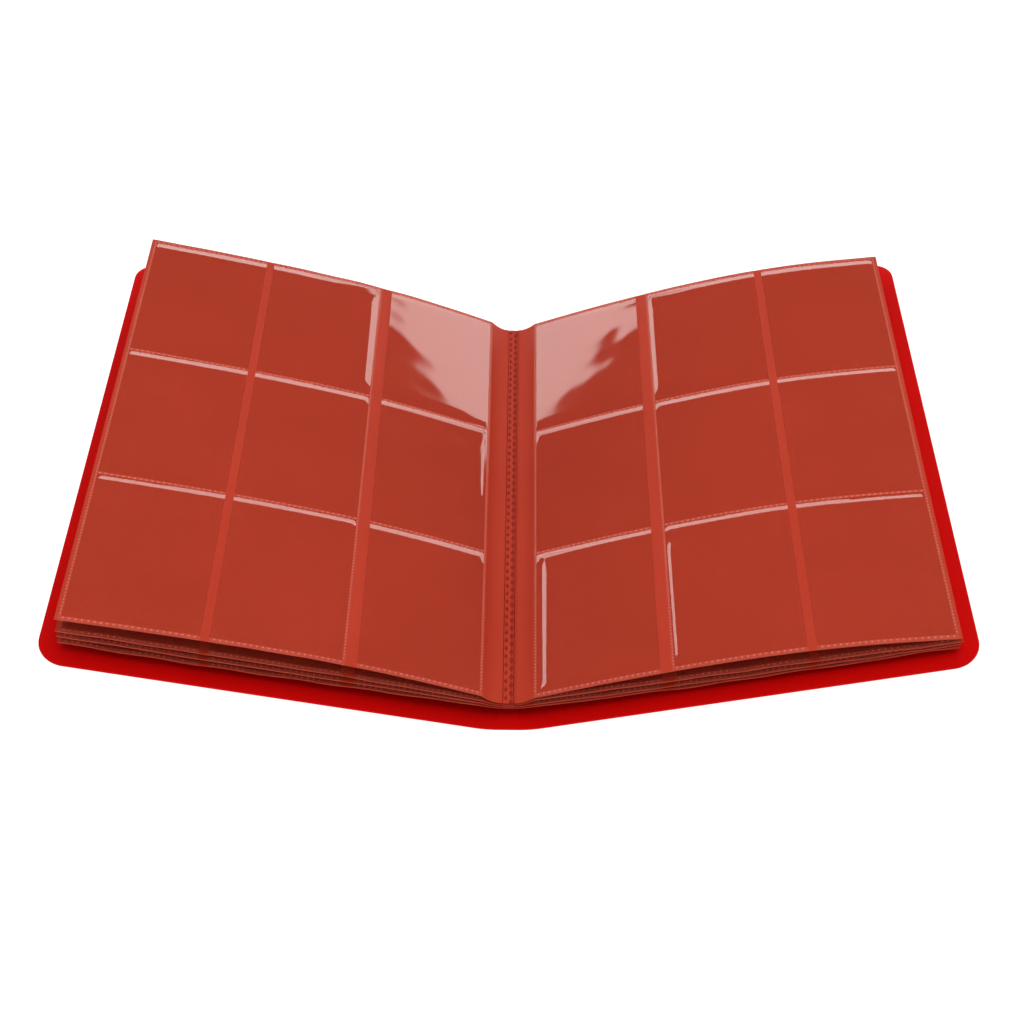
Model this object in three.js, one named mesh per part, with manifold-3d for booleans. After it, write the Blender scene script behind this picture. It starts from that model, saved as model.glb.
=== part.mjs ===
// Side-loading trading card binder, lying open in a shallow V on its spine.
// Millimetres, +Z up, X across the open binder, Y along the spine (the height of a page).
// The origin is at the middle of the flat underside of the spine.
// Left of the spine (-X) is the front half, right of it (+X) is the back half.

import * as THREE from 'three';
import { mergeVertices } from 'three/addons/utils/BufferGeometryUtils.js';
import Module from 'manifold-3d';

const wasm = await Module();
wasm.setup();

// ---------------------------------------------------------------- driving dimensions

// Pages: three columns of pockets, each pocket open at one side
const PAGE_HEIGHT = 279;
const POCKET_WIDTH = 67.9;
const INNER_GAP = 6.2;
const OUTER_GAP = 4.5;
const GUTTER_HALF = 13.6;
const OUTER_MARGIN = 1.5;

// Sheet thicknesses and the air between them
const CORE_THICKNESS = 0.5;
const FILM_THICKNESS = 0.3;
const FILM_AIR = 0.3;

// Binding strip at the middle of the spine, and the roots of the leaves beside it
const STRIP_WIDTH = 1.2;
const STRIP_TOP = 14.5;
const STRIP_BOTTOM = 1.9;
const ROOT_OFFSET = 2.2;
const TOP_ROOT_HEIGHT = 14.2;
const ROOT_PITCH = 1.6;

// Cover: one sheet from edge to edge, with a flat rest and a soft bend under each hinge
const COVER_HEIGHT = 294.6;
const COVER_THICKNESS = 1.6;
const COVER_REACH = 242;
const COVER_CORNER_RADIUS = 14;
const REST_HALF_WIDTH = 5;
const BEND_END = 18;
const SPINE_HALF_WIDTH = 8.6;
const HINGE_GAP = 1;
const CUTTER_DEPTH = 60;

// How each leaf lies: its height at the inner weld, and its slope in degrees in its inner,
// middle and outer column. Leaf 1 is the top one, leaf 4 lies next to the cover.
const HALVES = {
  front: {
    side: -1,
    coverAngle: 15.5,
    leaves: [
      { weldHeight: 21.3, columns: [23.05, 16.6, 14.1] },
      { weldHeight: 16.4, columns: [18, 15.8, 15.6] },
      { weldHeight: 13.9, columns: [16, 15.4, 16.5] },
      { weldHeight: 11.5, columns: [14.2, 14.6, 16.5] },
    ],
  },
  back: {
    side: 1,
    coverAngle: 16.8,
    leaves: [
      { weldHeight: 19.9, columns: [21.4, 17.2, 8.8] },
      { weldHeight: 17.6, columns: [15.6, 16, 14.7] },
      { weldHeight: 13.3, columns: [14.8, 16.7, 16.5] },
      { weldHeight: 11.2, columns: [14.2, 16.8, 17] },
    ],
  },
};

const COLUMNS = ['inner', 'middle', 'outer'];
const FACES = { upper: 1, lower: -1 };

// ---------------------------------------------------------------- materials

const coverMaterial = new THREE.MeshStandardMaterial({
  color: 0xb8100e, roughness: 0.55, metalness: 0,
});
const coreMaterial = new THREE.MeshStandardMaterial({
  color: 0xb9402f, roughness: 0.5, metalness: 0,
});
const filmMaterial = new THREE.MeshStandardMaterial({
  color: 0xc86a5c, roughness: 0.25, metalness: 0,
});

// ---------------------------------------------------------------- helpers

const radians = THREE.MathUtils.degToRad;

// Turns a profile drawn in X and Z into a solid of the given length, centred on Y = 0
function extrudeAlongY(points, length) {
  const geometry = new THREE.ExtrudeGeometry(new THREE.Shape(points), {
    depth: length,
    bevelEnabled: false,
  });
  geometry.rotateX(Math.PI / 2);
  geometry.translate(0, length / 2, 0);
  return geometry;
}

function toSolid(geometry) {
  const bare = geometry.clone();
  bare.deleteAttribute('normal');
  bare.deleteAttribute('uv');
  const welded = mergeVertices(bare, 1e-4);
  return new wasm.Manifold(new wasm.Mesh({
    numProp: 3,
    vertProperties: new Float32Array(welded.attributes.position.array),
    triVerts: new Uint32Array(welded.index.array),
  }));
}

function toGeometry(solid) {
  const mesh = solid.getMesh();
  const geometry = new THREE.BufferGeometry();
  geometry.setAttribute('position', new THREE.BufferAttribute(mesh.vertProperties, 3));
  geometry.setIndex(new THREE.BufferAttribute(mesh.triVerts, 1));
  geometry.computeVertexNormals();
  return geometry;
}

function named(name, geometry, material) {
  const mesh = new THREE.Mesh(geometry, material);
  mesh.name = name;
  return mesh;
}

// Outline of a bent sheet: its centre line offset to both faces
function sheetOutline(line, lowest, highest) {
  const top = line.map(({ point, normal }) => point.clone().addScaledVector(normal, highest));
  const bottom = line.map(({ point, normal }) => point.clone().addScaledVector(normal, lowest));
  return [...top, ...bottom.reverse()];
}

// ---------------------------------------------------------------- leaves

const FILM_START = CORE_THICKNESS / 2 + FILM_AIR;
const FILM_END = FILM_START + FILM_THICKNESS;

// Distance along the leaf from the inner weld to the start of each column
const columnStarts = [
  0,
  POCKET_WIDTH + INNER_GAP,
  2 * POCKET_WIDTH + INNER_GAP + OUTER_GAP,
];
const LEAF_REACH = columnStarts[2] + POCKET_WIDTH + OUTER_MARGIN;

// Slope at a distance along the leaf: it changes evenly between the middles of the columns
function slopeAt(distance, columns) {
  const [inner, middle, outer] = columns;
  const middles = columnStarts.map((start) => start + POCKET_WIDTH / 2);
  const knots = [
    [0, inner + (inner - middle) / 4],
    [middles[0], inner],
    [middles[1], middle],
    [middles[2], outer],
    [LEAF_REACH, outer + (outer - middle) / 4],
  ];
  const next = Math.max(1, knots.findIndex(([at]) => at >= distance));
  const [from, to] = [knots[next - 1], knots[next]];
  return THREE.MathUtils.mapLinear(distance, from[0], to[0], from[1], to[1]);
}

// A point of a centre line on the given side, with the normal that stands up from it there
function linePoint(side, x, z, slope) {
  return {
    point: new THREE.Vector2(side * x, z),
    normal: new THREE.Vector2(-side * Math.sin(slope), Math.cos(slope)),
  };
}

// The bare band beside the spine: level at the root, rising as a parabola to the inner weld
function gutterLine({ side, leaves }, index) {
  const rootHeight = TOP_ROOT_HEIGHT - index * ROOT_PITCH;
  const width = GUTTER_HALF - ROOT_OFFSET;
  const rise = leaves[index].weldHeight - rootHeight;
  return [0, 0.35, 0.6, 0.8].map((share) => {
    const slope = Math.atan((2 * rise * share) / width);
    return linePoint(side, ROOT_OFFSET + share * width, rootHeight + rise * share ** 2, slope);
  });
}

// Points and normals of the pocketed part of a leaf, at distances from the inner weld
function pocketLine({ side, leaves }, index, distances) {
  const { weldHeight, columns } = leaves[index];
  let [x, z, travelled] = [GUTTER_HALF, weldHeight, 0];
  return distances.map((distance) => {
    const steps = Math.max(1, Math.ceil((distance - travelled) / 2));
    const step = (distance - travelled) / steps;
    for (let i = 0; i < steps; i += 1) {
      const slope = radians(slopeAt(travelled + step / 2, columns));
      x += step * Math.cos(slope);
      z += step * Math.sin(slope);
      travelled += step;
    }
    return linePoint(side, x, z, radians(slopeAt(distance, columns)));
  });
}

function evenly(from, to, segments) {
  return Array.from({ length: segments + 1 }, (_, i) => from + ((to - from) * i) / segments);
}

// The coloured sheet that carries the pockets, from the binding strip to the free edge
function coreSheet(half, index) {
  const line = [
    ...gutterLine(half, index),
    ...pocketLine(half, index, evenly(0, LEAF_REACH, 12)),
  ];
  const outline = sheetOutline(line, -CORE_THICKNESS / 2, CORE_THICKNESS / 2);
  return extrudeAlongY(outline, PAGE_HEIGHT);
}

// One clear film strip, which makes the three pockets of a column on one face
function filmStrip(half, index, column, face) {
  const start = columnStarts[column];
  const line = pocketLine(half, index, evenly(start, start + POCKET_WIDTH, 4));
  return extrudeAlongY(sheetOutline(line, face * FILM_START, face * FILM_END), PAGE_HEIGHT);
}

function leaf(halfName, index) {
  const half = HALVES[halfName];
  const prefix = `${halfName}_leaf_${index + 1}`;
  const group = new THREE.Group();
  group.add(named(`${prefix}_core`, coreSheet(half, index), coreMaterial));
  for (const [faceName, face] of Object.entries(FACES)) {
    COLUMNS.forEach((columnName, column) => {
      const strip = filmStrip(half, index, column, face);
      group.add(named(`${prefix}_${faceName}_film_${columnName}`, strip, filmMaterial));
    });
  }
  return group;
}

// ---------------------------------------------------------------- cover

// Underside of the cover sheet at a distance from the middle of the spine:
// a flat rest, a soft bend, then a straight panel
function coverPoint({ side, coverAngle }, distance) {
  const angle = radians(coverAngle);
  const bendRadius = (BEND_END - REST_HALF_WIDTH) / angle;
  const turned = THREE.MathUtils.clamp((distance - REST_HALF_WIDTH) / bendRadius, 0, angle);
  const flat = Math.min(distance, REST_HALF_WIDTH);
  const straight = Math.max(0, distance - BEND_END);
  const x = flat + bendRadius * Math.sin(turned) + straight * Math.cos(turned);
  const z = bendRadius * (1 - Math.cos(turned)) + straight * Math.sin(turned);
  return linePoint(side, x, z, turned);
}

// Plan outline of a cover panel, with its two outer corners rounded
function panelOutline() {
  const half = COVER_HEIGHT / 2;
  const radius = COVER_CORNER_RADIUS;
  const outline = new THREE.Shape();
  outline.moveTo(0, -half);
  outline.lineTo(COVER_REACH - radius, -half);
  outline.absarc(COVER_REACH - radius, radius - half, radius, -Math.PI / 2, 0);
  outline.absarc(COVER_REACH - radius, half - radius, radius, 0, Math.PI / 2);
  outline.lineTo(0, half);
  return outline;
}

function coverPanel(half) {
  const start = SPINE_HALF_WIDTH + HINGE_GAP;
  const distances = [...evenly(start, BEND_END, 4), COVER_REACH];
  const line = distances.map((distance) => coverPoint(half, distance));
  const sheet = extrudeAlongY(sheetOutline(line, 0, COVER_THICKNESS), COVER_HEIGHT);

  // The outline is cut at right angles to the straight panel
  const cutter = new THREE.ExtrudeGeometry(panelOutline(), {
    depth: CUTTER_DEPTH,
    bevelEnabled: false,
    curveSegments: 8,
  });
  const bendEnd = coverPoint(half, BEND_END).point;
  cutter.translate(-BEND_END, 0, -CUTTER_DEPTH / 2);
  if (half.side < 0) {
    cutter.rotateZ(Math.PI);
  }
  cutter.rotateY(-half.side * radians(half.coverAngle));
  cutter.translate(bendEnd.x, 0, bendEnd.y);
  return toGeometry(toSolid(sheet).intersect(toSolid(cutter)));
}

function spinePanel() {
  const distances = evenly(REST_HALF_WIDTH, SPINE_HALF_WIDTH, 2);
  const left = distances.map((distance) => coverPoint(HALVES.front, distance)).reverse();
  const right = distances.map((distance) => coverPoint(HALVES.back, distance));
  return extrudeAlongY(sheetOutline([...left, ...right], 0, COVER_THICKNESS), COVER_HEIGHT);
}

// Upright strip that the roots of all the leaves are joined to
function bindingStrip() {
  const height = STRIP_TOP - STRIP_BOTTOM;
  const geometry = new THREE.BoxGeometry(STRIP_WIDTH, PAGE_HEIGHT, height);
  geometry.translate(0, 0, STRIP_BOTTOM + height / 2);
  return geometry;
}

// ---------------------------------------------------------------- assembly

const binder = new THREE.Group();
binder.add(named('spine_panel', spinePanel(), coverMaterial));
binder.add(named('binding_strip', bindingStrip(), coreMaterial));
for (const halfName of Object.keys(HALVES)) {
  binder.add(named(`${halfName}_cover`, coverPanel(HALVES[halfName]), coverMaterial));
  HALVES[halfName].leaves.forEach((_, index) => binder.add(leaf(halfName, index)));
}

export default binder;
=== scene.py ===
import math
import random

import bpy
import numpy as np
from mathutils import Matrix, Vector


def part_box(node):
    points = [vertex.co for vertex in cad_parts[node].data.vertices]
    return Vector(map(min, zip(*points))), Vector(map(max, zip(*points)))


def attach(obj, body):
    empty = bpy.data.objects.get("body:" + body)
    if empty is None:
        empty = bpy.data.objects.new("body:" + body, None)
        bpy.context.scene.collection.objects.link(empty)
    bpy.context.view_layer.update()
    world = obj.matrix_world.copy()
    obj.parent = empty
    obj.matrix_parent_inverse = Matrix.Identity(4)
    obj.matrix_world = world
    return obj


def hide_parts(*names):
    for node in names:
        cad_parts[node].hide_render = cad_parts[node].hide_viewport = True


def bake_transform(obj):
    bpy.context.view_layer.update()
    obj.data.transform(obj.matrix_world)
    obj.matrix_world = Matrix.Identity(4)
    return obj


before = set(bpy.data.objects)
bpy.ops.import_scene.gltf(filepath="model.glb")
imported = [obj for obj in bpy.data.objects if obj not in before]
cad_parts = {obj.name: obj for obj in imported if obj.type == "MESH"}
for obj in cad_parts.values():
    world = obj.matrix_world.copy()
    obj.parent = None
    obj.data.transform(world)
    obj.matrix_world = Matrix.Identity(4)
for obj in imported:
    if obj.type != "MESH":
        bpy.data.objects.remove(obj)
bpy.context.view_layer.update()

# A side-loading trading card binder: a red cover, and eight red leaves with clear film pockets on both
# faces. The leaves' curl is taken from the CAD leaves. Everything else is worked out from the sizes below, in
# metres.

MM = 0.001

# Leaves. A place on a leaf is (along, y): along is measured outward from the weld beside the gutter.
PAGE_HALF = 139.5 * MM
GUTTER_HALF = 13.6 * MM
LEAF_REACH = 215.9 * MM
ROOT_START = 3.0 * MM
CORE_HALF = 0.25 * MM
RIPPLE_HEIGHTS = (0.05 * MM, 0.14 * MM, 0.22 * MM, 0.3 * MM)
RIPPLE_LENGTHS = (28 * MM, 75 * MM)
RIPPLE_START = 95 * MM
RIPPLE_BLEND = 44 * MM
RIPPLE_ROOT = 50 * MM
POCKET_WIDTH = 67.9 * MM
COLUMN_STARTS = {"inner": 0.0, "middle": 74.1 * MM, "outer": 146.5 * MM}
POCKET_PITCH = 92 * MM
WELD_ROWS = [138 * MM - POCKET_PITCH * row for row in range(4)]

# Film. It bulges below each row of welds, sinks slowly beyond the bulge and closes on the next row. The inner
# pockets of the far row are loose: their film rises evenly across the pocket instead.
FILM_THICKNESS = 0.09 * MM
WELD_LIFT = 0.03 * MM
WELD_HALF = 0.8 * MM
BEAD_WIDTH = 3.9 * MM
BEAD_WIDTH_SPREAD = (0.9, 1.1)
BEAD_HEIGHT = 0.52 * MM
BEAD_HEIGHT_SPREAD = (0.9, 1.05)
SAG_LENGTH = 60 * MM
TIGHT_SAG = 0.7
LOOSE_SAG = 0.1
TIGHT_CLOSE = 16 * MM
LOOSE_CLOSE = 8 * MM
CREASE_CLOSE = 4 * MM
GENTLE_RISE = 52 * MM
LOOSE_RISE = 1.15
PINNED_EDGE = 3 * MM
PINNED_REACH = 4 * MM
FILM_ROOM = 0.8 * MM
HIDDEN_FILM_SHARE = 0.5

# Waves in the film: how high each one is for its length, and the seeds of the two loose pockets that show.
TIGHT_WAVES = 0.0002
LOOSE_WAVES = 0.00042
LOOSE_SEEDS = {"front": 2096, "back": 780}
WAVE_COUNT = 7
WAVE_LENGTHS_MM = (13, 46)
WAVE_START = 14 * MM

# A few pockets of the top leaves have a steep crease beside the upright weld, which catches the light. Each
# crease has where it starts beside the weld, how wide and how high it is, from where to where it runs,
# measured down from the row of welds above, and how long the film takes to sink back beyond it.
CREASES = {
    ("front", "inner", 0): (0.9 * MM, 1.6 * MM, 0.20 * MM, 2 * MM, 94 * MM, 45 * MM),
    ("front", "inner", 1): (3.1 * MM, 1.4 * MM, 0.24 * MM, 0 * MM, 50 * MM, 13 * MM),
    ("front", "middle", 0): (0.9 * MM, 4.8 * MM, 0.72 * MM, 0 * MM, 86 * MM, 40 * MM),
    ("back", "inner", 0): (0.9 * MM, 0.8 * MM, 0.22 * MM, 0 * MM, 90 * MM, 45 * MM),
    ("back", "inner", 2): (4.4 * MM, 3.2 * MM, 0.60 * MM, 6 * MM, 94 * MM, 40 * MM),
    ("back", "middle", 0): (0.9 * MM, 3.2 * MM, 0.62 * MM, 4 * MM, 86 * MM, 40 * MM),
    ("back", "middle", 2): (1.7 * MM, 2.3 * MM, 0.62 * MM, 14 * MM, 88 * MM, 40 * MM),
}
CREASE_END = 10 * MM
HOOK_HEIGHT = 9 * MM
HOOK_FROM = 3 * MM

# Weld dots.
DOT_PITCH = 3.0 * MM
DOT_RADIUS = 0.62 * MM
DOT_HEIGHT = 0.14 * MM
DOT_BASE = CORE_HALF + WELD_LIFT + FILM_THICKNESS * 0.6
UPRIGHT_PITCH = 2.05 * MM
UPRIGHT_RADIUS = 0.45 * MM
UPRIGHT_INSET = 0.7 * MM
UPRIGHT_WIDTH = 1.4 * MM

# The coloured sheet's grid: where its pockets' part starts, and a narrow row along its two ends.
SHEET_START = 4 * MM
SHEET_EDGE = 1 * MM

# Seam: a cap with two staggered columns of pressed diamonds, on a stem, with a plate at the level of each
# leaf. A diamond has its side, its half width and its half height. A plate has its leaf and its half width.
SEAM_HALF = 2.6 * MM
SEAM_PITCH = 5.15 * MM
SEAM_COLUMN = 1.45 * MM
SEAM_DENT = 0.35 * MM
DIAMONDS = ((-1, 1.35 * MM, 2.5 * MM), (1, 1.6 * MM, 3.2 * MM))
DIAMOND_STEEPNESS = 2.2
# Faces of the cap deep in a dent get a darker colour: painted shade.
DENT_SHADE_FROM = 0.25
CAP_COLUMNS = 31
CAP_STEP = 0.42 * MM
CAP_RISE = 0.05 * MM
CAP_THICKNESS = 0.5 * MM
CAP_SHOULDER = 0.5 * MM
CAP_SHOULDER_DROP = 0.12 * MM
STEM_INSET = 14 * MM
STEM_DROP = 0.45 * MM
WING_HALF = 2.75 * MM
WING_GAP = 0.03 * MM
WING_THICKNESS = 0.08 * MM
LOWER_PLATES = ((2, 2.45 * MM), (3, 2.1 * MM), (4, 1.6 * MM))
END_HALF = 3.3 * MM
END_INNER = PAGE_HALF + 0.15 * MM
END_OUTER = PAGE_HALF + 0.45 * MM
END_DROP = 0.1 * MM
FAR_END_DROP = 1 * MM

# Painted shade: a darker strip beside the seam, standing in for the shade that falls on the sheet there.
STRIP_START = 0.3 * MM
STRIP_END = 3.4 * MM
STRIP_BLUR = 1.8 * MM
SHADE_STRIP_TINT = (0.88, 0.82, 0.82, 1)

# Cover.
COVER_THICKNESS = 1.6 * MM
COVER_HALF = 147.3 * MM
COVER_REACH = 242 * MM
COVER_CORNER = 14 * MM
COVER_FLAT = 5 * MM
BEND_END = 18 * MM
PANEL_START = 24 * MM
COVER_ANGLES = {"front": math.radians(15.5), "back": math.radians(16.8)}
EDGE_ROUND = 0.5 * MM

# Studio. The film mirrors a bright wall behind the binder, WALL_TOP times as high as it is far, which fades
# between the two heights of WALL_FOOT.
FLOOR_RADIUS = 4.0
FLOOR_LEVEL = -0.3 * MM
BACKDROP_TOP = 4.0
WALL_TOP = 0.785
WALL_EDGE = 0.008
WALL_LIGHT = 2.9
WALL_FOOT = (0.15, 0.45)
WALL_FOOT_LIGHT = 1.1
WALL_TINT = (1.0, 0.985, 0.94, 1)
FRONT_LIGHT = 1.0
FRONT_HEIGHT = (0.3, 0.8)
FRONT_EDGE = (-0.5, 0)
CEILING_LIGHT = 0.05
LAMP_PLACE = (0.12, -0.15, 1.6)
LAMP_SIZE = (1.4, 1.0)
LAMP_WATTS = 19.1
CAMERA_PLACE = (0.0061, -0.5238, 0.6469)
CAMERA_TILT = math.radians(39.02)
CAMERA_TURN = math.radians(0.605)
CAMERA_LENS = 49.51
CAMERA_SENSOR = 36

SIDES = {"front": -1, "back": 1}


def ease(t):
    """0 below 0, 1 above 1, and a smooth step between them."""
    t = np.clip(t, 0.0, 1.0)
    return t * t * (3 - 2 * t)


def ramp(t, corner=0.2):
    """A straight rise from 0 to 1 with rounded corners, over 0 to 1."""
    t = np.clip(t, 0.0, 1.0)
    low = t * t / (2 * corner)
    middle = t - corner / 2
    high = 1 - corner - (1 - t) ** 2 / (2 * corner)
    shape = np.where(t < corner, low, np.where(t > 1 - corner, high, middle))
    return shape / (1 - corner)


# ---------------------------------------------------------------- leaf shape


def centre_stations(node):
    """The points (distance from the middle plane, height) along the centre line of a CAD leaf."""
    corners = np.array([v.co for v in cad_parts[node].data.vertices])
    end = corners[corners[:, 1] > corners[:, 1].max() - 0.1 * MM]
    points = np.unique(np.round(np.abs(end[:, [0, 2]]) / MM, 3), axis=0) * MM
    points = points[np.argsort(points[:, 0])]
    return (points[0::2] + points[1::2]) / 2


def smooth_line(points, steps):
    """A smooth curve through the points, as closely spaced points."""
    chord = np.concatenate([[0], np.cumsum(np.linalg.norm(np.diff(points, axis=0), axis=1))])
    slopes = np.gradient(points, chord, axis=0)
    fine = np.linspace(0, chord[-1], steps)
    k = np.clip(np.searchsorted(chord, fine, side="right") - 1, 0, len(chord) - 2)
    span = (chord[k + 1] - chord[k])[:, None]
    t = (fine - chord[k])[:, None] / span
    start = (2 * t**3 - 3 * t**2 + 1) * points[k] + (t**3 - 2 * t**2 + t) * span * slopes[k]
    end = (3 * t**2 - 2 * t**3) * points[k + 1] + (t**3 - t**2) * span * slopes[k + 1]
    return start + end


class Leaf:
    """One leaf's surface. point(along, y, lift) is a place lift above the middle of its coloured sheet."""

    def __init__(self, half, number):
        self.name = f"{half}_leaf_{number}"
        self.side = SIDES[half]
        self.half = half
        self.number = number
        stations = centre_stations(self.name + "_core")
        weld = np.argmin(np.abs(stations[:, 0] - GUTTER_HALF))
        gutter = smooth_line(stations[: weld + 1], 120)
        line = np.concatenate([gutter[:-1], smooth_line(stations[weld:], 800)])
        length = np.concatenate([[0], np.cumsum(np.linalg.norm(np.diff(line, axis=0), axis=1))])
        self.line = line
        self.along = length - np.interp(GUTTER_HALF, line[:, 0], length)
        self.angle = np.arctan2(np.gradient(line[:, 1], length), np.gradient(line[:, 0], length))
        self.root = self.along[0] - (line[0, 0] - ROOT_START)
        draw = random.Random(f"ripple of {self.name}")
        shortest, longest = RIPPLE_LENGTHS
        self.ripples = [(draw.uniform(shortest, longest), draw.uniform(0, math.tau)) for _ in range(3)]

    def ripple(self, along, y):
        """How far the leaf's near and far edges wave up and down. Lower leaves wave more."""
        height = RIPPLE_HEIGHTS[self.number - 1]
        wave = sum(np.sin(math.tau * along / length + phase) for length, phase in self.ripples)
        edge = ease((np.abs(y) - RIPPLE_START) / RIPPLE_BLEND)
        return height * wave * edge * ease(along / RIPPLE_ROOT)

    def point(self, along, y, lift):
        inside = np.minimum(along - self.along[0], 0)
        distance = np.interp(along, self.along, self.line[:, 0]) + inside * math.cos(self.angle[0])
        height = np.interp(along, self.along, self.line[:, 1]) + inside * math.sin(self.angle[0])
        angle = np.interp(along, self.along, self.angle)
        lift = lift + self.ripple(along, y)
        x = self.side * (distance - lift * np.sin(angle))
        z = height + lift * np.cos(angle)
        return np.stack([x, y + 0 * x, z], axis=-1)


# ---------------------------------------------------------------- meshes


def make_object(name, points, faces, materials, slots=None):
    mesh = bpy.data.meshes.new(name)
    mesh.from_pydata([tuple(p) for p in points], [], [tuple(f) for f in faces])
    for material in materials:
        mesh.materials.append(material)
    if slots is not None:
        mesh.polygons.foreach_set("material_index", slots)
    mesh.shade_smooth()
    mesh.set_sharp_from_angle(angle=math.radians(50))
    mesh.update()
    made = bpy.data.objects.new(name, mesh)
    bpy.context.scene.collection.objects.link(made)
    return made


class Build:
    """Collects points and faces of one piece, which may be several closed bodies."""

    def __init__(self):
        self.points = []
        self.faces = []
        self.slots = []
        self.count = 0

    def add(self, points, faces, slot=0, turned=False):
        points = np.asarray(points).reshape(-1, 3)
        for face in faces:
            shifted = [self.count + int(k) for k in face]
            self.faces.append(shifted[::-1] if turned else shifted)
        self.slots += [slot] * len(faces)
        self.points.append(points)
        self.count += len(points)

    def finish(self, name, materials):
        return make_object(name, np.concatenate(self.points), self.faces, materials, self.slots)


def slab_faces(rows, columns):
    """Faces of a closed sheet: an upper grid, then a lower grid, joined round the border."""
    def upper(i, j):
        return i * columns + j

    def lower(i, j):
        return rows * columns + i * columns + j

    faces = []
    for i in range(rows - 1):
        for j in range(columns - 1):
            faces.append((upper(i, j), upper(i + 1, j), upper(i + 1, j + 1), upper(i, j + 1)))
            faces.append((lower(i, j), lower(i, j + 1), lower(i + 1, j + 1), lower(i + 1, j)))
    border = [(i, 0) for i in range(rows - 1)]
    border += [(rows - 1, j) for j in range(columns - 1)]
    border += [(i, columns - 1) for i in range(rows - 1, 0, -1)]
    border += [(0, j) for j in range(columns - 1, 0, -1)]
    for a, b in zip(border, border[1:] + border[:1]):
        faces.append((upper(*b), upper(*a), lower(*a), lower(*b)))
    return faces


def add_sheet(build, leaf, alongs, ys, upper, lower, face=1):
    """Adds a closed sheet on a leaf. upper and lower are lifts on the grid, away from the leaf."""
    along, y = np.meshgrid(alongs, ys, indexing="ij")
    top = leaf.point(along, y, face * upper)
    bottom = leaf.point(along, y, face * lower)
    points = np.concatenate([top.reshape(-1, 3), bottom.reshape(-1, 3)])
    build.add(points, slab_faces(len(alongs), len(ys)), turned=leaf.side * face < 0)


def dome(sides, rings):
    """Points (x, y, height) of a small closed dome of radius 1 and height 1, and its faces."""
    points = []
    for ring in range(rings):
        tilt = math.pi / 2 * ring / rings
        for k in range(sides):
            turn = math.tau * k / sides
            points.append((math.cos(turn) * math.cos(tilt), math.sin(turn) * math.cos(tilt), math.sin(tilt)))
    points.append((0, 0, 1))
    faces = [tuple(range(sides))[::-1]]
    for ring in range(rings - 1):
        for k in range(sides):
            low = ring * sides
            nxt = (k + 1) % sides
            faces.append((low + k, low + nxt, low + sides + nxt, low + sides + k))
    last = (rings - 1) * sides
    for k in range(sides):
        faces.append((last + k, last + (k + 1) % sides, rings * sides))
    return np.array(points), faces


def add_dots(build, leaf, spots, face, shape, radius):
    """Adds a weld dot at every (along, y) spot of a leaf's face."""
    points, faces = shape
    lifts = face * (DOT_BASE + points[:, 2] * DOT_HEIGHT)
    for along, y in spots:
        placed = leaf.point(along + points[:, 0] * radius, y + points[:, 1] * radius, lifts)
        build.add(placed, faces, slot=1, turned=leaf.side * face < 0)


# ---------------------------------------------------------------- film strips

def film_lines_along(fine):
    """Grid lines across a film strip, measured from its upright weld."""
    if fine:
        near_weld = [0, 0.8, *np.arange(1.1, 7.0, 0.3), 8.0, 9.5, 11.5]
        rest = np.linspace(13.5, 67.9, 34)
    else:
        near_weld = [0, 0.8, 2.5, 5]
        rest = np.linspace(12, 67.9, 8)
    return np.concatenate([near_weld, rest]) * MM


def film_lines_down(fine):
    """Grid lines down a film strip, from the far edge to the near edge, closer beside the welds."""
    if fine:
        after = [*np.arange(0.8, 5.7, 0.3), 6.5, 8.5, 11]
        before = [84, 86, 87.5, 88.5, 89.5, 90.5, 91.2]
        rest = np.linspace(13, 82, 36)
    else:
        after = [0.8, 1.6, 3.3, 6]
        before = [86, 91.2]
        rest = np.linspace(14, 78, 5)
    steps = np.concatenate([after, rest, before]) * MM
    lines = [PAGE_HALF]
    for row in WELD_ROWS[:-1]:
        lines += list(row - steps)
    lines.append(-PAGE_HALF)
    return np.array(lines)


def crease(sizes, across, down):
    """The height that a crease adds to the film. A crease away from the weld bends to it at its lower end."""
    start, width, height, first, last, tail_length = sizes
    hook = 1 - ease((down - last + HOOK_HEIGHT) / HOOK_HEIGHT) * ease((start - HOOK_FROM) / MM)
    begin = WELD_HALF + (start - WELD_HALF) * hook
    fade = ease((down - first) / CREASE_END + 0.5) * ease((last - down) / CREASE_END + 0.5)
    tail = 1 - ease((across - begin - width) / tail_length)
    return height * fade * ramp((across - begin) / width) * tail


def bulge(down, height, width, loose):
    """The height of the film down a pocket: a steep rise below the row of welds, then a slow fall."""
    rise = ramp((down - WELD_HALF) / width)
    sag = LOOSE_SAG if loose else TIGHT_SAG
    return height * rise * (1 - sag * ease((down - WELD_HALF - width) / SAG_LENGTH))


def waves(draw, steepness, across, y):
    """Small crossing waves, all equally steep."""
    height = 0.0
    for _ in range(WAVE_COUNT):
        length = draw.uniform(*WAVE_LENGTHS_MM) * MM
        turn = draw.uniform(0, math.pi)
        phase = draw.uniform(0, math.tau)
        run = across * math.cos(turn) + y * math.sin(turn)
        height = height + steepness * length * np.sin(math.tau * run / length + phase)
    return height


def share_across(column, loose, across, down, width):
    """How much of its height the film has across a pocket. It is pinned by its upright weld."""
    beyond = across - WELD_HALF
    if loose:
        return LOOSE_RISE * np.maximum(beyond, 0) / POCKET_WIDTH
    rise = 2 * GENTLE_RISE if column == "inner" else GENTLE_RISE
    beside_row = np.exp(-(((down - WELD_HALF - width) / PINNED_REACH) ** 2))
    return np.maximum(ramp(beyond / rise), ramp(beyond / PINNED_EDGE) * beside_row)


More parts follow.
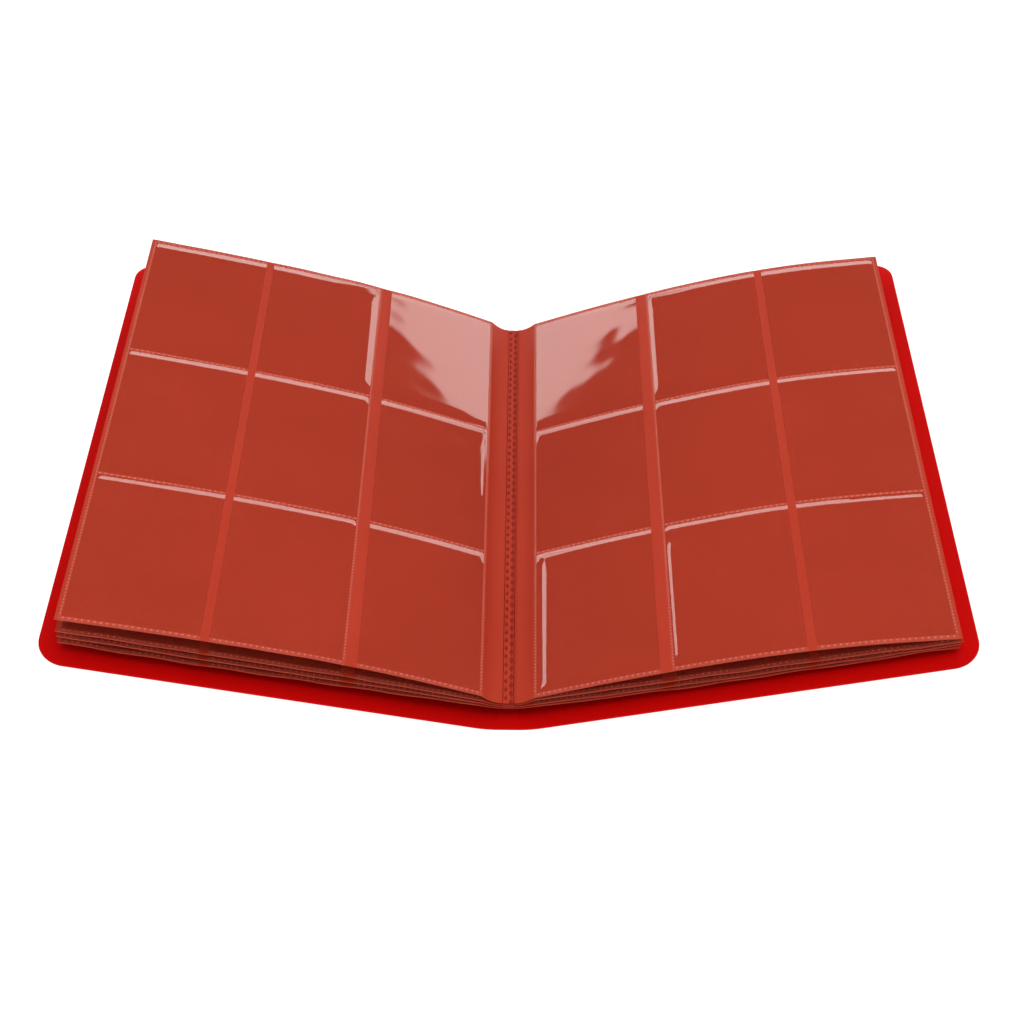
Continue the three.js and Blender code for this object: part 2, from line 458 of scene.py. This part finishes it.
def film_lift(leaf, column, face, across, y):
    """How far the film stands off its weld. across is measured from the strip's upright weld."""
    draw = random.Random(f"film of {leaf.name} {column} {face}")
    top_face = leaf.number == 1 and face > 0
    lift = np.zeros(np.broadcast(across, y).shape)
    for pocket, row in enumerate(WELD_ROWS[:-1]):
        down = row - y
        left = POCKET_PITCH - WELD_HALF - down
        loose = column == "inner" and pocket == 0
        height = BEAD_HEIGHT * draw.uniform(*BEAD_HEIGHT_SPREAD)
        width = BEAD_WIDTH * draw.uniform(*BEAD_WIDTH_SPREAD)
        if loose and top_face:
            draw = random.Random(LOOSE_SEEDS[leaf.half])
        wave = waves(draw, LOOSE_WAVES if loose else TIGHT_WAVES, across, y)
        body = np.maximum(bulge(down, height, width, loose) + wave * ease(down / WAVE_START), 0)
        body = body * share_across(column, loose, across, down, width)
        body = body * ease(left / (LOOSE_CLOSE if loose else TIGHT_CLOSE))
        if top_face and (leaf.half, column, pocket) in CREASES:
            body = body + ease(left / CREASE_CLOSE) * crease(CREASES[leaf.half, column, pocket], across, down)
        inside = (down > WELD_HALF) & (left > 0)
        lift = np.where(inside, body, lift)
    return np.clip(lift, 0, FILM_ROOM) * (1 if top_face else HIDDEN_FILM_SHARE)


def row_spots(column):
    """Weld dots of a strip: four rows across it."""
    start = COLUMN_STARTS[column]
    count = int(POCKET_WIDTH / DOT_PITCH)
    margin = (POCKET_WIDTH - (count - 1) * DOT_PITCH) / 2
    return [(start + margin + k * DOT_PITCH, row) for row in WELD_ROWS for k in range(count)]


def upright_spots(column):
    """The finer dots of the line down the strip's upright weld."""
    line = COLUMN_STARTS[column] + (POCKET_WIDTH - UPRIGHT_INSET if column == "outer" else UPRIGHT_INSET)
    count = int(2 * WELD_ROWS[0] / UPRIGHT_PITCH)
    return [(line, WELD_ROWS[0] - (k + 0.5) * UPRIGHT_PITCH) for k in range(count)]


def mark_welds(build, across, ys):
    """Gives the flat welded lines of a strip, along its rows and its upright weld, the weld's own finish."""
    middles = (ys[1:] + ys[:-1]) / 2
    in_row = np.min(np.abs(middles[:, None] - np.array(WELD_ROWS)[None, :]), axis=1) < WELD_HALF
    in_upright = (across[1:] + across[:-1]) / 2 < UPRIGHT_WIDTH
    face = 0
    for i in range(len(across) - 1):
        for j in range(len(ys) - 1):
            if in_upright[i] or in_row[j]:
                build.slots[face] = 2
            face += 2
    for rim_face in range(face, len(build.slots)):
        build.slots[rim_face] = 2


def make_film(leaf, column, face, materials):
    fine = leaf.number == 1 and face > 0
    across = film_lines_along(fine)
    start = COLUMN_STARTS[column]
    if column == "outer":
        alongs = start + POCKET_WIDTH - across[::-1]
        across = across[::-1]
    else:
        alongs = start + across
    ys = film_lines_down(fine)[::-1]
    lift = film_lift(leaf, column, face, across[:, None], ys[None, :])
    lower = CORE_HALF + WELD_LIFT + lift
    build = Build()
    add_sheet(build, leaf, alongs, ys, lower + FILM_THICKNESS, lower, face)
    mark_welds(build, across, ys)
    shape = dome(8, 2) if fine else dome(5, 1)
    add_dots(build, leaf, row_spots(column), face, shape, DOT_RADIUS)
    add_dots(build, leaf, upright_spots(column), face, shape, UPRIGHT_RADIUS)
    face_name = "upper" if face > 0 else "lower"
    node = f"{leaf.name}_{face_name}_film_{column}"
    film = build.finish(node + "_pockets", materials)
    film.visible_shadow = False
    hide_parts(node)
    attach(film, leaf.name)


# ---------------------------------------------------------------- coloured sheets


def make_core(leaf, material):
    gutter = np.linspace(leaf.root, 0, 14)
    pockets = np.linspace(SHEET_START, LEAF_REACH, 54)
    alongs = np.concatenate([gutter, pockets])
    inner_ys = np.linspace(-PAGE_HALF + SHEET_EDGE, PAGE_HALF - SHEET_EDGE, 45)
    ys = np.concatenate([[-PAGE_HALF], inner_ys, [PAGE_HALF]])
    half = np.full((len(alongs), len(ys)), CORE_HALF)
    build = Build()
    add_sheet(build, leaf, alongs, ys, half, -half)
    core = build.finish(leaf.name + "_sheet", [material])
    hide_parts(leaf.name + "_core")
    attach(core, leaf.name)


# ---------------------------------------------------------------- seam


def seam_dent(x, y):
    """How deep the seam is pressed in, from 0 to 1: two staggered columns of diamonds."""
    deepest = np.zeros(np.broadcast(x, y).shape)
    for side, half_width, half_height in DIAMONDS:
        shift = SEAM_PITCH / 2 if side > 0 else 0
        down = np.abs((y + shift) % SEAM_PITCH - SEAM_PITCH / 2)
        across = np.abs(x - side * SEAM_COLUMN)
        inside = DIAMOND_STEEPNESS * (1 - across / half_width - down / half_height)
        deepest = np.maximum(deepest, np.clip(inside, 0, 1))
    return deepest


def add_cap(build, near, far, top):
    """Adds the cap of the weld, which shows as the pressed seam."""
    xs = np.linspace(-SEAM_HALF, SEAM_HALF, CAP_COLUMNS)
    ys = np.arange(near, far, CAP_STEP)
    x, y = np.meshgrid(xs, ys, indexing="ij")
    dent = seam_dent(x, y)
    shoulder = ease((SEAM_HALF - np.abs(x)) / CAP_SHOULDER)
    upper = top - CAP_SHOULDER_DROP * (1 - shoulder) - SEAM_DENT * dent
    lower = np.full(upper.shape, top - CAP_THICKNESS)
    points = np.concatenate([
        np.stack([x, y, upper], axis=-1).reshape(-1, 3),
        np.stack([x, y, lower], axis=-1).reshape(-1, 3),
    ])
    faces = slab_faces(len(xs), len(ys))
    build.add(points, faces)
    # Faces deep in a dent take the second material: painted shade in the dents.
    pressed = dent.reshape(-1) > DENT_SHADE_FROM
    for k, face in enumerate(faces):
        if all(corner < pressed.size and pressed[corner] for corner in face):
            build.slots[k] = 1


def add_bar(build, half_width, near, far, bottom, top, slot=0):
    """Adds a straight bar of the weld, as wide to the left of its middle as to the right."""
    xs = np.linspace(-half_width, half_width, 5)
    ys = np.linspace(near, far, 40)
    x, y = np.meshgrid(xs, ys, indexing="ij")
    upper = np.stack([x, y, np.full(x.shape, top)], axis=-1)
    lower = np.stack([x, y, np.full(x.shape, bottom)], axis=-1)
    points = np.concatenate([upper.reshape(-1, 3), lower.reshape(-1, 3)])
    build.add(points, slab_faces(len(xs), len(ys)), slot)


def root_height(number):
    """The height of a leaf's coloured sheet at the weld."""
    return centre_stations(f"front_leaf_{number}_core")[0, 1]


def make_seam(materials):
    """The weld between the two halves: cap, stem, a plate for each leaf, and a thin plate across each end."""
    lowest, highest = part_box("binding_strip")
    top = highest.z + CAP_RISE
    wing_top = root_height(1) - CORE_HALF - WING_GAP
    build = Build()
    add_cap(build, lowest.y, highest.y, top)
    stem_ends = (lowest.y + STEM_INSET, highest.y - STEM_INSET)
    add_bar(build, highest.x, *stem_ends, lowest.z, top - STEM_DROP)
    add_bar(build, WING_HALF, -PAGE_HALF, PAGE_HALF, wing_top - WING_THICKNESS, wing_top)
    for number, half_width in LOWER_PLATES:
        level = root_height(number)
        add_bar(build, half_width, -END_INNER, END_INNER, level - CORE_HALF, level + CORE_HALF)
    end_bottom = root_height(4) + CORE_HALF
    end_top = wing_top - END_DROP
    # Both end plates take the seam's darker colour: painted shade, so that they read as the shade between the
    # leaves' ends.
    add_bar(build, END_HALF, -END_OUTER, -END_INNER, end_bottom, end_top, slot=1)
    add_bar(build, END_HALF, END_INNER, END_OUTER, end_bottom - FAR_END_DROP, end_top, slot=1)
    seam = build.finish("seam_weld", materials)
    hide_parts("binding_strip")
    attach(seam, "spine")


# ---------------------------------------------------------------- cover


def cover_point(side, angle, distance, y, height):
    """A place on the cover: distance from its middle line, and height above its middle surface."""
    bend = BEND_END - COVER_FLAT
    radius = bend / angle
    turned = np.clip((distance - COVER_FLAT) / bend, 0, 1) * angle
    flat = np.minimum(distance, COVER_FLAT)
    past = np.maximum(distance - BEND_END, 0)
    x = flat + radius * np.sin(turned) + past * math.cos(angle) - height * np.sin(turned)
    z = COVER_THICKNESS / 2 + radius * (1 - np.cos(turned)) + past * math.sin(angle) + height * np.cos(turned)
    return np.stack([side * x, y + 0 * x, z + 0 * x], axis=-1)


def cover_half_height(distance, inset):
    """Half the height of the cover at a distance from its middle line, less where its corners are round."""
    radius = COVER_CORNER - inset
    into = np.clip(distance - (COVER_REACH - COVER_CORNER), 0, radius)
    return COVER_HALF - COVER_CORNER + np.sqrt(radius**2 - into**2)


def cover_grid(side, angle, distances, shares, inset, height):
    reach = distances[-1]
    start = distances[0]
    scaled = start + (distances - start) * (reach - inset - start) / (reach - start)
    distance, share = np.meshgrid(scaled, shares, indexing="ij")
    y = share * cover_half_height(distance, inset)
    return cover_point(side, angle, distance, y, height)


def cover_loop(rows, columns):
    """The free border of a cover half, from the bend along one end, the outer edge and the other end."""
    loop = [(i, 0) for i in range(rows)]
    loop += [(rows - 1, j) for j in range(1, columns)]
    loop += [(i, columns - 1) for i in range(rows - 2, -1, -1)]
    return loop


def edge_layers():
    """The rounded edge of the cover as (inset, height) steps, from its upper face to its lower face."""
    half_thick = COVER_THICKNESS / 2
    upper = [
        (EDGE_ROUND * (1 - math.sin(a)), half_thick - EDGE_ROUND * (1 - math.cos(a)))
        for a in np.linspace(0, math.pi / 2, 4)
    ]
    return upper + [(inset, -height) for inset, height in reversed(upper)]


def cover_distances():
    """Grid lines across a cover half: close in the bend and in the round corners."""
    bend = np.linspace(COVER_FLAT, BEND_END, 22)
    panel = np.linspace(PANEL_START, COVER_REACH - COVER_CORNER, 26)
    corner = COVER_REACH - COVER_CORNER * (1 - np.sin(np.linspace(0, math.pi / 2, 22)[1:]))
    return np.concatenate([bend, panel, corner])


def cover_faces(rows, columns, loop, last):
    """Faces of a cover half: the two grids, the strips between its edge's layers, and the end at the bend.

    Layers 0 and last are the two grids. The layers between them are rings of points along the loop.
    """
    def vertex(layer, place):
        i, j = loop[place]
        if layer == 0:
            return i * columns + j
        if layer == last:
            return rows * columns + i * columns + j
        return 2 * rows * columns + (layer - 1) * len(loop) + place

    faces = []
    for i in range(rows - 1):
        for j in range(columns - 1):
            a = i * columns + j
            b = rows * columns + a
            faces.append((a, a + columns, a + columns + 1, a + 1))
            faces.append((b, b + 1, b + columns + 1, b + columns))
    for layer in range(last):
        for place in range(len(loop) - 1):
            faces.append((
                vertex(layer, place + 1),
                vertex(layer, place),
                vertex(layer + 1, place),
                vertex(layer + 1, place + 1),
            ))
    end = list(range(columns))
    end += [vertex(layer, len(loop) - 1) for layer in range(1, last)]
    end += [rows * columns + j for j in range(columns - 1, -1, -1)]
    end += [vertex(layer, 0) for layer in range(last - 1, 0, -1)]
    faces.append(tuple(end))
    return faces


def make_cover_half(half, material):
    """One half of the cover, with a rounded edge. Along the bend it curves up from the flat strip at the
    spine.
    """
    side = SIDES[half]
    angle = COVER_ANGLES[half]
    distances = cover_distances()
    shares = np.linspace(-1, 1, 41)
    rows, columns = len(distances), len(shares)
    layers = edge_layers()
    loop = cover_loop(rows, columns)
    grids = [cover_grid(side, angle, distances, shares, inset, height) for inset, height in layers]
    points = [grids[0].reshape(-1, 3), grids[-1].reshape(-1, 3)]
    points += [np.array([grid[i, j] for i, j in loop]) for grid in grids[1:-1]]
    build = Build()
    build.add(np.concatenate(points), cover_faces(rows, columns, loop, len(layers) - 1), turned=side < 0)
    panel = build.finish(half + "_cover_panel", [material])
    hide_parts(half + "_cover")
    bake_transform(panel)


def make_cover_spine(material):
    """The flat strip of the cover between the two bends, with rounded ends."""
    profile = [
        (COVER_HALF - EDGE_ROUND * (1 - math.sin(a)), COVER_THICKNESS - EDGE_ROUND * (1 - math.cos(a)))
        for a in np.linspace(0, math.pi / 2, 4)
    ]
    profile += [(y, COVER_THICKNESS - z) for y, z in reversed(profile)]
    outline = profile + [(-y, z) for y, z in reversed(profile)]
    xs = np.linspace(-COVER_FLAT, COVER_FLAT, 7)
    count = len(outline)
    points = [(x, y, z) for x in xs for y, z in outline]
    faces = [tuple(range(count)), tuple((len(xs) - 1) * count + k for k in range(count))[::-1]]
    for row in range(len(xs) - 1):
        for k in range(count):
            nxt = (k + 1) % count
            low = row * count
            faces.append((low + nxt, low + k, low + count + k, low + count + nxt))
    build = Build()
    build.add(points, faces)
    strip = build.finish("cover_spine_strip", [material])
    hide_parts("spine_panel")
    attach(strip, "spine")


# ---------------------------------------------------------------- materials


def new_material(name):
    material = bpy.data.materials.new(name)
    material.use_nodes = True
    nodes = material.node_tree.nodes
    return material, nodes, material.node_tree.links, nodes["Principled BSDF"]


def add_noise(nodes, links, place, scale, detail=4.0):
    noise = nodes.new("ShaderNodeTexNoise")
    noise.inputs["Scale"].default_value = scale
    noise.inputs["Detail"].default_value = detail
    links.new(place.outputs["Object"], noise.inputs["Vector"])
    return noise


def add_ramp(nodes, links, source, colours, spread=(0.3, 0.7)):
    mix = nodes.new("ShaderNodeValToRGB")
    mix.color_ramp.elements[0].position = spread[0]
    mix.color_ramp.elements[1].position = spread[1]
    mix.color_ramp.elements[0].color = (*colours[0], 1)
    mix.color_ramp.elements[1].color = (*colours[1], 1)
    links.new(source, mix.inputs["Fac"])
    return mix


def add_roughness(nodes, links, source, low, high, target):
    spread = nodes.new("ShaderNodeMapRange")
    spread.inputs["To Min"].default_value = low
    spread.inputs["To Max"].default_value = high
    links.new(source, spread.inputs["Value"])
    links.new(spread.outputs["Result"], target)


def spread_value(nodes, links, source, low, high, to_low, to_high):
    """Turns a value between low and high smoothly into one between to_low and to_high."""
    spread = nodes.new("ShaderNodeMapRange")
    spread.interpolation_type = "SMOOTHSTEP"
    spread.inputs["From Min"].default_value = low
    spread.inputs["From Max"].default_value = high
    spread.inputs["To Min"].default_value = to_low
    spread.inputs["To Max"].default_value = to_high
    links.new(source, spread.inputs["Value"])
    return spread.outputs["Result"]


def calculate(nodes, links, operation, first, second):
    node = nodes.new("ShaderNodeMath")
    node.operation = operation
    for value, target in ((first, node.inputs[0]), (second, node.inputs[1])):
        if isinstance(value, float):
            target.default_value = value
        else:
            links.new(value, target)
    return node.outputs["Value"]


def add_bump(nodes, links, source, strength, distance, target):
    bump = nodes.new("ShaderNodeBump")
    bump.inputs["Strength"].default_value = strength
    bump.inputs["Distance"].default_value = distance
    links.new(source, bump.inputs["Height"])
    links.new(bump.outputs["Normal"], target)


def plastic(name, colours, roughness, specular, grain_scale, grain_depth):
    """Moulded or rolled plastic sheet: soft colour clouds, a fine grain, and gloss that varies a little."""
    material, nodes, links, shader = new_material(name)
    place = nodes.new("ShaderNodeTexCoord")
    clouds = add_noise(nodes, links, place, 14, 3)
    grain = add_noise(nodes, links, place, grain_scale, 3)
    tint = add_ramp(nodes, links, clouds.outputs["Fac"], colours)
    links.new(tint.outputs["Color"], shader.inputs["Base Color"])
    add_roughness(nodes, links, grain.outputs["Fac"], roughness[0], roughness[1], shader.inputs["Roughness"])
    add_bump(nodes, links, grain.outputs["Fac"], 0.35, grain_depth, shader.inputs["Normal"])
    shader.inputs["Specular IOR Level"].default_value = specular
    return material


def add_painted_shade_strip(material):
    """Paints shade into a soft-edged strip beside the seam: a darker colour that stands in for the shade
    there.
    """
    nodes = material.node_tree.nodes
    links = material.node_tree.links
    shader = nodes["Principled BSDF"]
    plain = shader.inputs["Base Color"].links[0].from_socket
    place = nodes.new("ShaderNodeTexCoord")
    split = nodes.new("ShaderNodeSeparateXYZ")
    links.new(place.outputs["Object"], split.inputs["Vector"])
    inner = spread_value(nodes, links, split.outputs["X"], STRIP_START, STRIP_START + STRIP_BLUR, 0, 1)
    outer = spread_value(nodes, links, split.outputs["X"], STRIP_END, STRIP_END + STRIP_BLUR, 1, 0)
    # The strip's colour is multiplied by a darker tint: painted shade.
    mix = nodes.new("ShaderNodeMix")
    mix.data_type = "RGBA"
    mix.blend_type = "MULTIPLY"
    mix.inputs["B"].default_value = SHADE_STRIP_TINT
    links.new(calculate(nodes, links, "MULTIPLY", inner, outer), mix.inputs["Factor"])
    links.new(plain, mix.inputs["A"])
    links.new(mix.outputs["Result"], shader.inputs["Base Color"])
    return material


def clear_film():
    """Clear glossy film over the coloured sheet: mostly see-through, with a strong sharp gloss."""
    material, nodes, links, shader = new_material("clear_film")
    place = nodes.new("ShaderNodeTexCoord")
    haze = add_noise(nodes, links, place, 30, 4)
    tint = add_ramp(nodes, links, haze.outputs["Fac"], ((0.435, 0.044, 0.020), (0.46, 0.048, 0.023)))
    links.new(tint.outputs["Color"], shader.inputs["Base Color"])
    add_roughness(nodes, links, haze.outputs["Fac"], 0.02, 0.06, shader.inputs["Roughness"])
    fine = add_noise(nodes, links, place, 60, 1)
    add_bump(nodes, links, fine.outputs["Fac"], 0.03, 0.02 * MM, shader.inputs["Normal"])
    shader.inputs["Specular IOR Level"].default_value = 1.0
    shader.inputs["Coat Weight"].default_value = 1.0
    shader.inputs["Coat Roughness"].default_value = 0.02
    shader.inputs["Coat IOR"].default_value = 1.6
    shader.inputs["Alpha"].default_value = 0.45
    return material


def weld_plastic(name, colours, cloud_scale, roughness, bump, specular):
    """Film pressed onto the sheet by the welding tool: paler and duller than the film beside it."""
    material, nodes, links, shader = new_material(name)
    place = nodes.new("ShaderNodeTexCoord")
    clouds = add_noise(nodes, links, place, cloud_scale, 3)
    tint = add_ramp(nodes, links, clouds.outputs["Fac"], colours)
    links.new(tint.outputs["Color"], shader.inputs["Base Color"])
    add_roughness(nodes, links, clouds.outputs["Fac"], roughness[0], roughness[1], shader.inputs["Roughness"])
    add_bump(nodes, links, clouds.outputs["Fac"], bump, 0.05 * MM, shader.inputs["Normal"])
    shader.inputs["Specular IOR Level"].default_value = specular
    return material


def weld_mark():
    """The dots of a weld."""
    colours = ((0.56, 0.115, 0.075), (0.64, 0.15, 0.105))
    return weld_plastic("weld_mark", colours, 90, (0.45, 0.6), 0.2, 0.2)


def weld_line():
    """The flat line of a weld between its dots, a little see-through."""
    colours = ((0.50, 0.075, 0.045), (0.55, 0.095, 0.062))
    material = weld_plastic("weld_line", colours, 120, (0.4, 0.55), 0.15, 0.25)
    material.node_tree.nodes["Principled BSDF"].inputs["Alpha"].default_value = 0.6
    return material


def sheet_plastic(name):
    """The coloured sheet of the leaves."""
    colours = ((0.44, 0.038, 0.017), (0.475, 0.043, 0.020))
    return plastic(name, colours, (0.45, 0.58), 0.1, 1500, 0.03 * MM)


def seam_shade_plastic():
    """Painted shade, darker than the sheet: it colours the dents of the seam's diamonds and the plates across
    the seam's ends, where shade falls.
    """
    colours = ((0.25, 0.016, 0.009), (0.29, 0.020, 0.011))
    return plastic("pressed_seam", colours, (0.5, 0.6), 0.1, 1500, 0.03 * MM)


def cover_plastic():
    """The thicker and purer red sheet of the cover."""
    colours = ((0.55, 0.0015, 0.0012), (0.61, 0.002, 0.0016))
    return plastic("cover_polypropylene", colours, (0.5, 0.65), 0.05, 2600, 0.04 * MM)


def floor_material():
    material, nodes, links, shader = new_material("floor_white")
    place = nodes.new("ShaderNodeTexCoord")
    clouds = add_noise(nodes, links, place, 3, 2)
    tint = add_ramp(nodes, links, clouds.outputs["Fac"], ((0.30, 0.30, 0.30), (0.33, 0.33, 0.33)))
    links.new(tint.outputs["Color"], shader.inputs["Base Color"])
    shader.inputs["Roughness"].default_value = 0.9
    shader.inputs["Specular IOR Level"].default_value = 0.0
    shader.inputs["Emission Color"].default_value = (1, 1, 1, 1)
    shader.inputs["Emission Strength"].default_value = 0.95
    return material


# ---------------------------------------------------------------- studio


def make_floor(material):
    bpy.ops.mesh.primitive_circle_add(
        vertices=96, radius=FLOOR_RADIUS, fill_type="NGON", location=(0, 0, FLOOR_LEVEL)
    )
    floor = bpy.context.object
    floor.name = "floor"
    floor.data.materials.append(material)


def make_backdrop(material):
    """A pale wall round the floor. Only the camera sees it, so it doesn't change the light on the binder."""
    turns = np.linspace(0, math.tau, 96, endpoint=False)
    ring = [(FLOOR_RADIUS * math.cos(turn), FLOOR_RADIUS * math.sin(turn)) for turn in turns]
    points = [(x, y, FLOOR_LEVEL) for x, y in ring] + [(x, y, BACKDROP_TOP) for x, y in ring]
    count = len(ring)
    faces = [(k, count + k, count + (k + 1) % count, (k + 1) % count) for k in range(count)]
    backdrop = make_object("backdrop", points, faces, [material])
    backdrop.visible_diffuse = False
    backdrop.visible_glossy = False
    backdrop.visible_transmission = False
    backdrop.visible_shadow = False


def make_world():
    """A bright wall behind the binder, which the film mirrors, and a dimmer light from the camera's side."""
    world = bpy.data.worlds.new("studio")
    bpy.context.scene.world = world
    world.use_nodes = True
    nodes = world.node_tree.nodes
    links = world.node_tree.links
    direction = nodes.new("ShaderNodeTexCoord")
    split = nodes.new("ShaderNodeSeparateXYZ")
    links.new(direction.outputs["Generated"], split.inputs["Vector"])
    away = calculate(nodes, links, "MAXIMUM", split.outputs["Y"], 0.01)
    height = calculate(nodes, links, "DIVIDE", split.outputs["Z"], away)
    wall = spread_value(
        nodes, links, height, WALL_TOP - WALL_EDGE, WALL_TOP + WALL_EDGE, WALL_LIGHT, CEILING_LIGHT
    )
    foot = spread_value(nodes, links, height, *WALL_FOOT, WALL_FOOT_LIGHT / WALL_LIGHT, 1)
    wall = calculate(nodes, links, "MULTIPLY", wall, foot)
    low = spread_value(nodes, links, split.outputs["Z"], *FRONT_HEIGHT, FRONT_LIGHT, 0)
    near = spread_value(nodes, links, split.outputs["Y"], *FRONT_EDGE, 1, 0)
    front = calculate(nodes, links, "MULTIPLY", low, near)
    strength = calculate(nodes, links, "MAXIMUM", wall, front)
    links.new(strength, nodes["Background"].inputs["Strength"])
    nodes["Background"].inputs["Color"].default_value = WALL_TINT


def make_lamp():
    """A soft lamp overhead. The film doesn't mirror it."""
    data = bpy.data.lights.new("overhead", "AREA")
    data.shape = "RECTANGLE"
    data.size, data.size_y = LAMP_SIZE
    data.energy = LAMP_WATTS
    lamp = bpy.data.objects.new("overhead", data)
    bpy.context.scene.collection.objects.link(lamp)
    lamp.location = LAMP_PLACE
    lamp.rotation_euler = (-Vector(LAMP_PLACE)).to_track_quat("-Z", "Y").to_euler()
    lamp.visible_glossy = False


def make_camera():
    data = bpy.data.cameras.new("camera")
    data.lens = CAMERA_LENS
    data.sensor_width = CAMERA_SENSOR
    data.clip_start = 0.01
    camera = bpy.data.objects.new("camera", data)
    bpy.context.scene.collection.objects.link(camera)
    camera.location = CAMERA_PLACE
    camera.rotation_euler = (CAMERA_TILT, 0, CAMERA_TURN)
    bpy.context.scene.camera = camera


# ---------------------------------------------------------------- the binder


def make_binder():
    cover_red = cover_plastic()
    sheet_red = sheet_plastic("core_polypropylene")
    # The top leaves' sheets and the seam's cap carry the painted shade strip beside the seam.
    gutter_red = add_painted_shade_strip(sheet_plastic("gutter_polypropylene"))
    seam_shade_red = seam_shade_plastic()
    film_materials = [clear_film(), weld_mark(), weld_line()]
    for half in SIDES:
        for number in range(1, 5):
            leaf = Leaf(half, number)
            make_core(leaf, gutter_red if number == 1 else sheet_red)
            for column in COLUMN_STARTS:
                for face in (1, -1):
                    make_film(leaf, column, face, film_materials)
        make_cover_half(half, cover_red)
    make_cover_spine(cover_red)
    make_seam([gutter_red, seam_shade_red])


def make_studio():
    floor_white = floor_material()
    make_floor(floor_white)
    make_backdrop(floor_white)
    make_world()
    make_lamp()
    make_camera()
    bpy.context.scene.view_settings.view_transform = "Standard"


make_binder()
make_studio()
